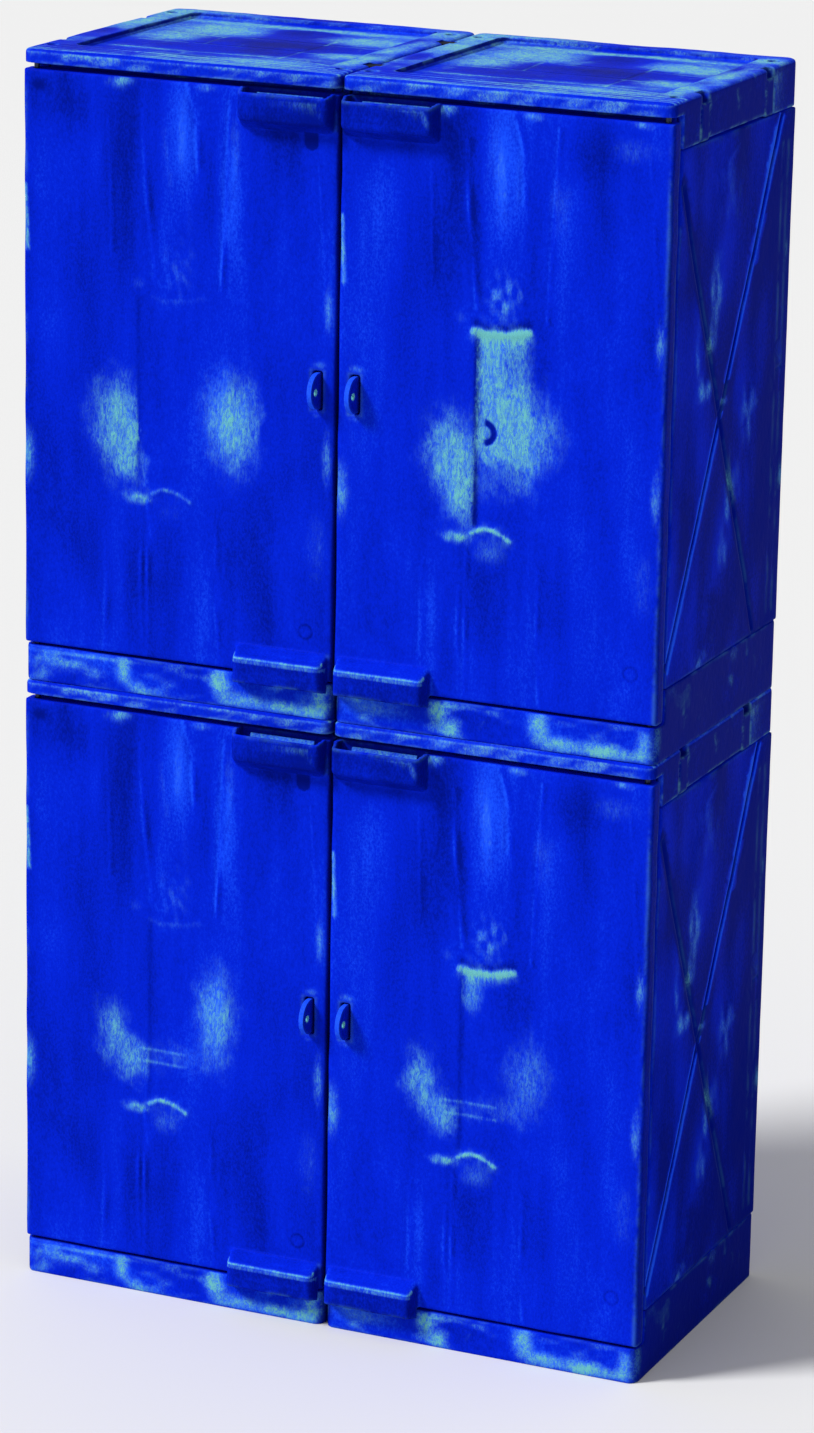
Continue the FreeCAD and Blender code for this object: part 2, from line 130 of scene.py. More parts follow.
def sharp_tree(mesh):
    """KD tree of points along the mesh's outward sharp edges."""
    bm = bmesh.new()
    bm.from_mesh(mesh)
    points = []
    for e in bm.edges:
        if len(e.link_faces) == 2 and e.is_convex and e.calc_face_angle(0) > 0.6:
            a, b = e.verts[0].co, e.verts[1].co
            steps = max(1, int((b - a).length / (4 * MM)))
            points += [a.lerp(b, i / steps) for i in range(steps + 1)]
    bm.free()
    tree = KDTree(max(1, len(points)))
    for i, p in enumerate(points):
        tree.insert(p, i)
    tree.balance()
    return tree


def with_modifiers(mesh, settings):
    """The mesh after a list of (type, {setting: value}) modifiers."""
    holder = bpy.data.objects.new("holder", mesh)
    bpy.context.scene.collection.objects.link(holder)
    for kind, values in settings:
        modifier = holder.modifiers.new(kind, kind)
        for key, value in values.items():
            setattr(modifier, key, value)
    depsgraph = bpy.context.evaluated_depsgraph_get()
    made = bpy.data.meshes.new_from_object(holder.evaluated_get(depsgraph))
    bpy.data.objects.remove(holder)
    return made


def soft_mesh(node, voxel, rounds):
    """The node's shell, voxel remeshed and with its edges softened."""
    shell = shell_mesh(node, node + "_shell")
    remesh = ("REMESH", {"mode": "VOXEL", "voxel_size": voxel, "use_smooth_shade": True})
    smooth = ("SMOOTH", {"factor": 0.5, "iterations": rounds})
    made = with_modifiers(shell, [remesh, smooth])
    return made, sharp_tree(shell)


def thinned(mesh, faces):
    """The mesh collapsed to about that many triangles."""
    count = sum(len(p.vertices) - 2 for p in mesh.polygons)
    if count <= faces:
        return mesh
    return with_modifiers(mesh, [("DECIMATE", {"ratio": faces / count})])


def mirrored(mesh):
    """A copy of the mesh mirrored about the middle plane of the object."""
    copy = mesh.copy()
    co, _ = arrays(copy)
    co[:, 0] *= -1
    set_points(copy, co)
    copy.flip_normals()
    return copy


# ---- fields over a face ----
def ripples(points, seed, wavelength, stretch=(1, 1, 1), waves=9):
    """Smooth random field, about -1 to 1, made of sine waves near one wavelength."""
    rng = np.random.default_rng(seed)
    total = np.zeros(len(points))
    scaled = points / np.array(stretch)
    for _ in range(waves):
        way = rng.normal(size=3)
        way /= np.linalg.norm(way)
        k = 2 * math.pi / (wavelength * rng.uniform(0.7, 1.5))
        total += np.sin(scaled @ way * k + rng.uniform(0, 2 * math.pi))
    return total / math.sqrt(waves / 2) / 1.6


def rise_at(a, edge, soft):
    """0 below edge and 1 above it, turning over about soft."""
    return 1 / (1 + np.exp(np.clip((edge - a) * 4 / soft, -40, 40)))


def band(a, low, high, soft):
    return rise_at(a, low, soft) * (1 - rise_at(a, high, soft))


def spot(a, b, centre, radius):
    """Soft round or oval spot."""
    return np.exp(-(((a - centre[0]) / radius[0]) ** 2 + ((b - centre[1]) / radius[1]) ** 2))


def spots(a, b, table):
    """Sum of soft spots, each given as (centre, radius, strength)."""
    return sum(strength * spot(a, b, centre, radius) for centre, radius, strength in table)


def stroke(a, b, points, half):
    """Soft line through the points."""
    best = np.full(len(a), np.inf)
    for (a0, b0), (a1, b1) in zip(points, points[1:]):
        da, db = a1 - a0, b1 - b0
        along = np.clip(((a - a0) * da + (b - b0) * db) / (da * da + db * db), 0, 1)
        best = np.minimum(best, np.hypot(a - a0 - along * da, b - b0 - along * db))
    return np.exp(-(best / half) ** 2)


def ring(a, b, centre, radius, half):
    return np.exp(-((np.hypot(a - centre[0], b - centre[1]) - radius) / half) ** 2)


# ---- doors ----
# Places on a door are (from the module's left edge, above the module's foot), in metres. Every door comes
# from one mould, so folds and marks repeat by translation, and only their strength differs.
FOLD_TOP = 0.60
LEDGE = ((0.205, 0.580), (0.222, 0.575), (0.255, 0.577), (0.284, 0.584))
BROW = ((0.206, 0.297), (0.222, 0.305), (0.240, 0.303), (0.264, 0.291))
CREASES = (                     # (line, half width, depth in mm)
    (((0.132, 0.83), (0.137, 0.74), (0.138, 0.64)), 0.004, 0.5),
    (((0.186, 0.84), (0.190, 0.74), (0.205, 0.61)), 0.005, 0.9),
    (((0.254, 0.885), (0.268, 0.835), (0.272, 0.76)), 0.005, 0.8),
    (((0.321, 0.865), (0.315, 0.75), (0.309, 0.60)), 0.004, 0.7),
    (((0.128, 0.24), (0.131, 0.16), (0.127, 0.065)), 0.005, 0.7),
    (((0.196, 0.285), (0.196, 0.17), (0.197, 0.065)), 0.004, 0.8),
    (((0.186, 0.22), (0.185, 0.14), (0.190, 0.065)), 0.004, 0.6),
    (((0.303, 0.26), (0.304, 0.15), (0.310, 0.065)), 0.004, 0.6),
    (((0.020, 0.592), (0.10, 0.588), (0.17, 0.592)), 0.004, 0.3),
    (((0.452, 0.84), (0.460, 0.76), (0.469, 0.61)), 0.003, 0.4),
)
SHEEN_AND_SHADE = (                      # (centre, radius, strength): painted light and shade, lighter streaks of sheen and darker streaks of shade
    ((0.242, 0.80), (0.026, 0.11), 0.85), ((0.326, 0.76), (0.022, 0.14), 0.70),
    ((0.172, 0.77), (0.024, 0.13), -0.9), ((0.205, 0.72), (0.010, 0.12), -0.5),
    ((0.292, 0.76), (0.014, 0.10), -0.7), ((0.040, 0.60), (0.030, 0.22), 0.35),
    ((0.150, 0.17), (0.020, 0.14), 0.55), ((0.170, 0.13), (0.014, 0.08), -0.6),
    ((0.225, 0.16), (0.030, 0.12), -0.7), ((0.290, 0.18), (0.016, 0.10), 0.25),
    ((0.400, 0.20), (0.05, 0.12), -0.25), ((0.100, 0.75), (0.030, 0.15), 0.30),
    ((0.445, 0.26), (0.030, 0.06), 0.55), ((0.420, 0.66), (0.04, 0.10), 0.25),
    ((0.250, 0.50), (0.035, 0.08), -0.25), ((0.380, 0.84), (0.05, 0.035), -0.6),
    ((0.060, 0.84), (0.05, 0.03), -0.5), ((0.090, 0.33), (0.05, 0.05), -0.3),
)
DOOR_MARKS = (                  # (centre, radius, strength): pale marks that all doors share
    ((0.182, 0.597), (0.012, 0.010), 0.20), ((0.006, 0.335), (0.012, 0.034), 0.70),
    ((0.476, 0.375), (0.007, 0.035), 0.55), ((0.476, 0.585), (0.007, 0.030), 0.50),
    ((0.462, 0.250), (0.018, 0.050), 0.22), ((0.150, 0.876), (0.020, 0.010), 0.35),
)
WINDOW_PATCHES = {              # (centre, radius, strength): painted sheen patches right of the fold
    "upper_left": (((0.190, 0.335), (0.008, 0.035), 0.35),),
    "upper_right": (((0.292, 0.442), (0.042, 0.052), 0.65), ((0.262, 0.545), (0.020, 0.03), -0.25)),
    "lower_left": (((0.312, 0.445), (0.030, 0.068), 0.75), ((0.25, 0.375), (0.06, 0.022), 0.26)),
    "lower_right": (((0.310, 0.430), (0.034, 0.060), 0.42), ((0.25, 0.378), (0.06, 0.022), 0.26)),
}
FOLD_U = {"upper_left": 0.182, "upper_right": 0.208, "lower_left": 0.205, "lower_right": 0.206}
WINDOW_SINK = {"upper_left": 0.4, "upper_right": 1.0, "lower_left": 0.4, "lower_right": 0.6}
LEDGE_SHINE = {"upper_left": 0.08, "upper_right": 1.0, "lower_left": 0.10, "lower_right": 0.80}
BROW_SHINE = {"upper_left": 0.40, "upper_right": 1.0, "lower_left": 0.95, "lower_right": 1.0}
TOP_DASHES = {"left": (0.155, 0.285), "right": (0.155, 0.285, 0.440)}   # pale dashes along the top edge
GRIP_SPAN = {"left": (0.344, 0.481), "right": (0.006, 0.143)}
# a small pale spot on each upper grip's front
GRIP_PALE_SPOT = {"left": 0.464, "right": 0.134}
GRIP_TOP = 0.076                # where a lower grip's slope meets the door
SLOT_U = 0.0265                 # middle of the padlock slot, from the seam
EYE_REACH = 0.014               # the lug's eye stands this far in front of the door
SCRATCH = ((0.003, 0.72), (0.007, 0.63))
FINE_LINES_W = (0.362, 0.381)   # heights of two scratches across the lower windows
DIMPLE = (0.027, 0.864)
RING = (0.447, 0.125)
RING_R = 0.010


def tail(row, column):
    return row + "_" + column


def on_door(co, column):
    """Door coordinates of points: from the module's left edge, and above the module's foot."""
    left = cad_box[0].x if column == "left" else cad_box[1].x - MODULE_W
    return co[:, 0] - left, co[:, 2] - base_low.z


def from_seam(u, column):
    """Distance from the side of the module that faces the other column."""
    return MODULE_W - u if column == "left" else u


def stadium(u, w):
    """U-shaped mark under the upper grip."""
    foot = 0.817
    inside = np.hypot(u - 0.447, np.minimum(w - foot, 0))
    return (1 - rise_at(inside, 0.0105, 0.002)) * (1 - rise_at(w, 0.832, 0.003))


def crescent(u, w):
    """Half-moon sink mark beside the fold of one door."""
    return band(np.hypot(u - 0.222, w - 0.439), 0.009, 0.0185, 0.003) * rise_at(u, 0.222, 0.003)


def folds(co, u, w, which):
    """Height in mm of a door's broad waves, fold, sunken window, ledge, brow and creases."""
    fold = FOLD_U[which]
    height = 0.7 * ripples(co, 11, 0.12, (1, 1, 3.2)) + 0.25 * ripples(co, 51, 0.045, (1, 1, 1.8))
    height += 0.5 * np.sin(2 * math.pi * (u / 0.118 + 0.25)) * (0.6 + 0.4 * np.sin(w * 9))
    shoulder = rise_at(fold - u, 0, 0.004) * np.exp(-np.maximum(fold - u, 0) / 0.05)
    height += 1.3 * shoulder * band(w, 0.30, FOLD_TOP, 0.03)
    window = band(u, fold, 0.315, 0.012) * band(w, 0.31, 0.578, 0.010)
    height -= 2.2 * WINDOW_SINK[which] * window * np.exp(-np.maximum(u - fold, 0) / 0.09)
    height += (0.3 + 0.7 * LEDGE_SHINE[which]) * stroke(u, w, LEDGE, 0.006)
    height += 1.2 * stroke(u, w, BROW, 0.005) + 1.0 * spot(u, w, (0.182, 0.291), (0.018, 0.008))
    for line, half, deep in CREASES:
        height -= deep * stroke(u, w, line, half)
    return height


def shape_door(co, no, row, column):
    """Folds and marks of a door's front, and its wavy edges."""
    which = tail(row, column)
    low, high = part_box("door_lower_" + column)
    u, w = on_door(co, column)
    flat = np.clip((-no[:, 1] - 0.5) * 3, 0, 1) * (np.abs(co[:, 1] - FRONT_Y) < 4 * MM)
    inner = band(co[:, 0], low.x + 14 * MM, high.x - 14 * MM, 14 * MM)
    inner *= band(co[:, 2], low.z + 12 * MM, high.z - 14 * MM, 12 * MM)
    grips = band(u, 0.325, 0.50, 0.012) if column == "left" else band(u, -0.02, 0.162, 0.012)
    inner *= 1 - grips * np.maximum(rise_at(w, 0.825, 0.01), 1 - rise_at(w, 0.115, 0.01))
    height = folds(co, u, w, which)
    rough = spot(u, w, (0.245, 0.625), (0.032, 0.04)) + spot(u, w, (0.232, 0.272), (0.022, 0.02))
    rough += 0.7 * door_sheen_patches(u, w, which)
    height += 0.22 * ripples(co, 77, 0.011, (1, 1, 0.8)) * np.minimum(rough, 1)
    if column == "left":
        height -= 0.8 * stadium(u, w) + 0.7 * spot(u, w, DIMPLE, (0.011, 0.008))
    height -= 0.8 * ring(u, w, RING, RING_R, 1.5 * MM)
    if which == "upper_right":
        height -= 1.2 * crescent(u, w)
    co += no * (flat * inner * height * MM)[:, None]
    seam = from_seam(u, column)
    edge = np.clip((np.abs(no[:, 0]) - 0.3) * 2, 0, 1)
    edge *= np.abs(seam - MODULE_W / 2) > MODULE_W / 2 - 12 * MM
    edge *= (co[:, 1] < FRONT_Y + 30 * MM) * (co[:, 1] > FRONT_Y - 1 * MM)
    wave = 0.5 + 0.5 * np.sin(w * 41 + 1.3 * np.sin(w * 17))
    outward = edge * (1.4 * (seam < MODULE_W / 2) - wave * 0.9) * MM
    co[:, 0] += np.sign(co[:, 0] - (low.x + high.x) / 2) * outward
    return close_slot(co, seam, w)


def close_slot(co, seam, w):
    """The padlock slot, drawn in to stand closer round its lug."""
    off = seam - SLOT_U
    near = band(np.abs(off), 6 * MM, 15 * MM, 6 * MM) * band(w, 0.437, 0.507, 0.008)
    co[:, 0] -= np.sign(co[:, 0]) * np.sign(off) * near * 2.2 * MM
    return co


def door_sheen_patches(u, w, which):
    """Painted sheen: pale patches beside the fold and in the window, 0 to 1."""
    fold = FOLD_U[which]
    if which.startswith("upper"):
        beside = (((fold - 0.030, 0.400), (0.040, 0.056), 1.0), ((fold - 0.018, 0.345), (0.024, 0.040), 0.5))
    else:
        beside = (((0.148, 0.404), (0.027, 0.044), 0.8), ((0.180, 0.358), (0.028, 0.028), 0.6))
    total = spots(u, w, beside) * (1 - rise_at(u, fold, 0.004)) + spots(u, w, WINDOW_PATCHES[which])
    right_of_fold = rise_at(u, fold, 0.003)
    if which == "upper_left":
        total += 0.95 * spot(u, w, (0.332, 0.410), (0.042, 0.062)) * (1 - rise_at(u, 0.376, 0.012))
    if which == "upper_right":
        total += 0.80 * band(u, fold, 0.285, 0.020) * band(w, 0.405, 0.577, 0.020) * right_of_fold
        total += 0.30 * band(u, fold, 0.30, 0.02) * band(w, 0.35, 0.42, 0.04)
    if which == "lower_right":
        total += 0.60 * band(u, fold, 0.235, 0.020) * band(w, 0.515, 0.577, 0.030) * right_of_fold
    if which.startswith("lower"):
        total *= 1 - 0.85 * spot(u, w, (0.212, 0.452), (0.050, 0.058))
    return np.clip(total, 0, 0.88)


def ragged_patches(co, u, w, which):
    """The painted sheen patches with uneven outlines, kept to their own side of the fold."""
    fold = FOLD_U[which]
    ragged_u = u + 0.0045 * ripples(co, 81, 0.030) + 0.0015 * ripples(co, 82, 0.012)
    ragged_w = w + 0.0060 * ripples(co, 83, 0.035) + 0.0020 * ripples(co, 84, 0.012)
    ragged_u = np.where(np.sign(ragged_u - fold) == np.sign(u - fold), ragged_u, u)
    return door_sheen_patches(ragged_u, ragged_w, which)


def door_sheen_and_marks(co, u, w, row, column):
    """Pale paint of a door's front: painted sheen patches, painted highlights on the lit ledge and brow, pale
    dashes along the top edge, scratches.
    """
    which = tail(row, column)
    sheen_and_marks = ragged_patches(co, u, w, which)
    if which == "upper_right":
        sheen_and_marks *= 1 - crescent(u, w)
    if row == "lower":
        for height in FINE_LINES_W:
            sheen_and_marks += 0.30 * stroke(u, w, ((0.185, height), (0.262, height - 0.001)), 0.0022)
    broken = np.clip(0.9 + 0.3 * ripples(co, 97, 0.014), 0.3, 1.2)
    ledge = 1.7 * stroke(u, w, LEDGE, 0.0050) + 0.35 * stroke(u, w + 0.008, LEDGE, 0.010)
    brow = 1.05 * stroke(u, w, BROW, 0.0030) + 0.25 * stroke(u, w, BROW, 0.010)
    brow = broken * brow + 0.38 * spot(u, w, (0.234, 0.273), (0.022, 0.018))
    sheen_and_marks += LEDGE_SHINE[which] * ledge + BROW_SHINE[which] * brow
    sheen_and_marks += 0.95 * broken * spot(u, w, (0.182, 0.289), (0.019, 0.008))
    crinkled = np.clip(0.6 + 0.6 * ripples(co, 98, 0.012, (1, 1, 2)), 0, 1.2)
    sheen_and_marks += (0.18 + 0.34 * LEDGE_SHINE[which]) * crinkled * spot(u, w, (0.246, 0.622), (0.028, 0.040))
    sheen_and_marks += spots(u, w, DOOR_MARKS) + 0.75 * stroke(u, w, SCRATCH, 0.004)
    for middle in TOP_DASHES[column]:
        sheen_and_marks += 0.55 * broken * spot(u, w, (middle, 0.880), (0.015, 0.006))
    lug = MODULE_W - SLOT_U if column == "left" else SLOT_U
    sheen_and_marks += 0.38 * spot(u, w, (lug + 0.002, 0.508), (0.011, 0.006))
    sheen_and_marks += 0.25 * spot(u, w, (lug, 0.437), (0.008, 0.004))
    # painted sheen: silky pale streaks high on the door
    for place, radius, strength, seed in (
        ((0.242, 0.800), (0.026, 0.085), 0.25, 94),
        ((0.326, 0.790), (0.020, 0.080), 0.22, 95),
    ):
        silky = np.clip(0.6 + ripples(co, seed, 0.03, (1, 1, 5)), 0, 1)
        sheen_and_marks += strength * spot(u, w, place, radius) * silky
    if column == "right":
        sheen_and_marks += 0.22 * spot(u, w, (0.430, 0.845), (0.040, 0.020))
    return sheen_and_marks


def door_tone(co, u, w, row, column):
    """Tone of a door's front: painted streaks of sheen and shade, painted light and shade beside the creases,
    and painted shade beside folds and marks.
    """
    which = tail(row, column)
    tone = spots(u, w, SHEEN_AND_SHADE)
    faded = 0.5 + 0.5 * ripples(co, 93, 0.07)
    # painted light on one side of each crease and painted shade on the other
    for line, half, deep in CREASES:
        lit = 1.1 * stroke(u, w, line, half * 0.6)
        shade = 1.0 * stroke(u - 1.6 * half, w, line, half)
        tone += faded * deep * (lit - shade)
    silk = 0.24 * ripples(co, 91, 0.045, (1, 1, 5)) + 0.07 * ripples(co, 92, 0.020, (1, 1, 4))
    tone += silk * (0.45 + 0.55 * np.maximum(rise_at(w, 0.60, 0.2), 1 - rise_at(w, 0.28, 0.1)))
    # painted shade along the fold and just above the ledge
    fold_line = tuple((FOLD_U[which] + 0.002, height) for height in (0.575, 0.31))
    tone -= 1.6 * WINDOW_SINK[which] ** 2 * stroke(u, w, fold_line, 0.0045)
    tone -= LEDGE_SHINE[which] * stroke(u, w - 0.011, LEDGE, 0.006)
    if column == "left":
        tone -= 1.6 * stadium(u, w) + 1.2 * spot(u, w, DIMPLE, (0.012, 0.008))
    tone -= 0.8 * ring(u, w, RING, RING_R, 2 * MM)
    if which == "upper_right":
        tone -= 1.2 * crescent(u, w)
    return tone + 0.25 * rise_at(0.15 - w, 0, 0.1) - 0.2


def paint_grips(co, no, u, w, column):
    """Pale mask and tone of the finger grips: painted light on upward faces, a painted glint along the lower
    ones' slope edge, and one pale spot.
    """
    lower = w < 0.3
    glint = lower * np.exp(-((no[:, 2] - 0.40) / 0.17) ** 2) * (co[:, 1] < FRONT_Y - 12 * MM)
    halo = lower * np.exp(-((no[:, 2] - 0.45) / 0.35) ** 2)
    tone = 0.8 * np.clip(no[:, 2], 0, 1) + 0.9 * halo - 0.80 + 0.3 * ripples(co, 96, 0.03)
    pale_spot = 0.45 * spot(u - 0.35 * (0.868 - w), w, (GRIP_PALE_SPOT[column], 0.868), (0.005, 0.013))
    return pale_spot + 0.80 * glint + 0.12 * halo, tone


def paint_door(co, no, row, column):
    """Pale mask and tone of a door: painted sheen and pale marks, and lighter or darker blue, much of it
    painted light and shade.
    """
    u, w = on_door(co, column)
    front = np.clip((-no[:, 1] - 0.2) * 3, 0, 1)
    grip = (co[:, 1] < FRONT_Y - 3 * MM) * (np.abs(w - 0.47) > 0.06)
    grip_glint_and_spot, grip_tone = paint_grips(co, no, u, w, column)
    sheen_and_marks = door_sheen_and_marks(co, u, w, row, column) * front * (1 - grip) + grip * grip_glint_and_spot
    # painted highlight: a thin light line where each lower grip's slope meets the door
    sheen_and_marks += 0.55 * stroke(u, w, tuple((place, GRIP_TOP) for place in GRIP_SPAN[column]), 0.0016)
    tone = door_tone(co, u, w, row, column) * (1 - grip) + grip * grip_tone
    # painted shade on the door's side faces and the grips' end faces
    shaded_cheeks = np.clip((np.abs(no[:, 0]) - 0.55) * 3, 0, 1)
    return sheen_and_marks, tone * np.maximum(front, grip) * (1 - shaded_cheeks) - 1.2 * shaded_cheeks


# ---- side and back panels ----
# Places on a panel's outer face are (from the front, above the module's foot).
CROSS_SHADED = ((0.039, 0.798), (0.372, 0.106))
CROSS_LIT = ((0.033, 0.126), (0.418, 0.842))
REAR_LINES_S = (0.421, 0.443)   # just in front of the two upright grooves near the back
# painted sheen patches on the side's outer face
PANEL_PATCHES = (
    ((0.182, 0.635), (0.020, 0.040), 0.60), ((0.165, 0.565), (0.020, 0.025), 0.40),
    ((0.148, 0.500), (0.026, 0.018), 0.50), ((0.115, 0.550), (0.010, 0.045), 0.25),
    ((0.320, 0.435), (0.024, 0.038), 0.42), ((0.255, 0.320), (0.014, 0.045), 0.42),
    ((0.235, 0.250), (0.020, 0.035), 0.30), ((0.156, 0.115), (0.022, 0.012), 0.55),
    ((0.285, 0.340), (0.030, 0.030), 0.20), ((0.220, 0.470), (0.018, 0.006), 0.45),
    ((0.225, 0.780), (0.050, 0.060), 0.18), ((0.455, 0.640), (0.008, 0.02), 0.4),
    ((0.462, 0.310), (0.010, 0.03), 0.45), ((0.010, 0.340), (0.010, 0.03), 0.5),
    ((0.010, 0.25), (0.006, 0.02), 0.3),
)


def shape_panel(co, no, row, column):
    """Gentle bulges between a side panel's grooves."""
    out = np.clip((np.abs(no[:, 0]) - 0.5) * 2, 0, 1)
    depth = 0.8 * ripples(co, 21, 0.16, (1, 1, 1.6)) + 0.25 * ripples(co, 22, 0.05) - 0.7
    co += no * (out * depth * 0.8 * MM)[:, None]
    return co


def paint_panel(co, no, row, column):
    """Pale mask and tone of a side panel: painted sheen patches, one arm of the cross in painted shade and
    the other edged in painted highlights, and painted shade over the whole side.
    """
    s, w = co[:, 1] - FRONT_Y, co[:, 2] - base_low.z
    out = np.clip((np.abs(no[:, 0]) - 0.3) * 2, 0, 1)
    sheen_and_marks = spots(s, w, PANEL_PATCHES)
    (s0, w0), (s1, w1) = CROSS_LIT
    slope = math.hypot(s1 - s0, w1 - w0)
    side_s, side_w = (w1 - w0) / slope * 0.0075, -(s1 - s0) / slope * 0.0075
    lit = np.zeros(len(s))
    for way in (-1, 1):
        line = ((s0 + way * side_s, w0 + way * side_w), (s1 + way * side_s, w1 + way * side_w))
        lit += stroke(s, w, line, 0.0035) * (np.abs(w - 0.475) > 0.02)
    lit += 1.2 * stroke(s, w, ((0.335, 0.70), (0.395, 0.82)), 0.008)
    sheen_patches = sheen_and_marks * np.clip(0.75 + 0.5 * ripples(co, 23, 0.02, (1, 1, 1.6)), 0, 1.3)
    sheen_and_marks = 1.25 * sheen_patches + 0.12 * lit
    tone = 2.4 * sheen_patches + 3.0 * lit
    # painted shade in the grooves of both arms
    tone -= 4.2 * stroke(s, w, CROSS_SHADED, 0.008) + 2.4 * stroke(s, w, CROSS_LIT, 0.0035)
    # painted shade over the whole side face, and darker towards the back
    tone += 0.5 * ripples(co, 24, 0.09, (1, 1, 2.5)) - 1.4 * rise_at(s, 0.38, 0.14) - 0.90
    for depth in REAR_LINES_S:
        tone += 0.6 * stroke(s, w, ((depth, 0.13), (depth, 0.79)), 0.003)
    return sheen_and_marks * out, tone * out


def shape_back(co, no, row, column):
    out = np.clip((no[:, 1] - 0.5) * 2, 0, 1)
    depth = 0.9 * ripples(co, 31, 0.16, (1, 1, 1.6)) + 0.25 * ripples(co, 32, 0.05)
    co += no * (out * depth * 0.8 * MM)[:, None]
    return co


def paint_back(co, no, row, column):
    return 0.5 * np.clip(ripples(co, 33, 0.14) - 0.45, 0, 1), 0.5 * ripples(co, 34, 0.2, (1, 1, 2))


# ---- tops ----
# Places on a top are (from the module's left edge, from the front).
TILE_LINES = (
    ((0.075, 0.300), (0.160, 0.298)), ((0.200, 0.298), (0.425, 0.292)), ((0.075, 0.215), (0.150, 0.217)),
    ((0.160, 0.219), (0.420, 0.206)), ((0.075, 0.140), (0.300, 0.146)), ((0.300, 0.146), (0.430, 0.120)),
    ((0.172, 0.298), (0.176, 0.222)), ((0.332, 0.330), (0.330, 0.140)),
)
# painted sheen on the top, and painted light along the recess's back wall
TOP_SHEEN = (
    ((0.140, 0.350), (0.075, 0.055), 0.95), ((0.105, 0.255), (0.045, 0.040), 0.85),
    ((0.380, 0.345), (0.060, 0.040), 0.95), ((0.395, 0.200), (0.045, 0.032), 0.95),
    ((0.340, 0.075), (0.085, 0.045), 1.0), ((0.250, 0.070), (0.04, 0.02), 0.4),
    ((0.110, 0.135), (0.045, 0.010), 0.40), ((0.300, 0.148), (0.12, 0.010), 0.35),
    ((0.210, 0.045), (0.06, 0.012), 0.50), ((0.022, 0.320), (0.022, 0.070), 0.75),
    ((0.022, 0.430), (0.030, 0.030), 0.60), ((0.250, 0.417), (0.20, 0.014), 1.0),
    ((0.460, 0.250), (0.016, 0.060), 0.70), ((0.455, 0.120), (0.016, 0.040), 0.90),
    ((0.462, 0.420), (0.02, 0.03), 0.45), ((0.150, 0.010), (0.14, 0.007), 0.45),
    ((0.380, 0.012), (0.09, 0.008), 0.50), ((0.10, 0.455), (0.10, 0.01), 0.4),
)
TOP_SHADES = (
    ((0.280, 0.255), (0.110, 0.040), -1.2), ((0.255, 0.370), (0.040, 0.045), -1.0),
    ((0.240, 0.180), (0.130, 0.035), -0.6), ((0.240, 0.075), (0.035, 0.025), -1.0),
    ((0.060, 0.060), (0.050, 0.050), -0.3), ((0.445, 0.330), (0.012, 0.030), -0.7),
    ((0.455, 0.190), (0.012, 0.020), -0.6), ((0.020, 0.215), (0.012, 0.03), -0.7),
    ((0.23, 0.455), (0.08, 0.012), -0.5),
)
RECESS_X = 0.046
RECESS_Y = (0.064, 0.446)
NOTCH_Y = (0.114, 0.363)
LIP_STRIPES = (0.006, 0.018, 0.031, 0.046)


def on_top(co, column):
    left = cad_box[0].x if column == "left" else cad_box[1].x - MODULE_W
    return co[:, 0] - left, co[:, 1] - FRONT_Y


def shape_lid(co, no, row, column):
    """Sagging top with tile lines in its recess."""
    u, s = on_top(co, column)
    top = np.clip((no[:, 2] - 0.6) * 2.5, 0, 1)
    depth = 0.6 * ripples(co, 41, 0.13) + 0.2 * ripples(co, 42, 0.04) - 0.6
    for line in TILE_LINES:
        depth -= 0.5 * stroke(u, s, line, 0.003)
    co += no * (top * depth * 0.7 * MM)[:, None]
    lip = np.clip((-no[:, 1] - 0.4) * 2, 0, 1)
    co += no * (lip * (0.4 * ripples(co, 43, 0.05, (1, 1, 0.5)) - 0.4) * MM)[:, None]
    return co


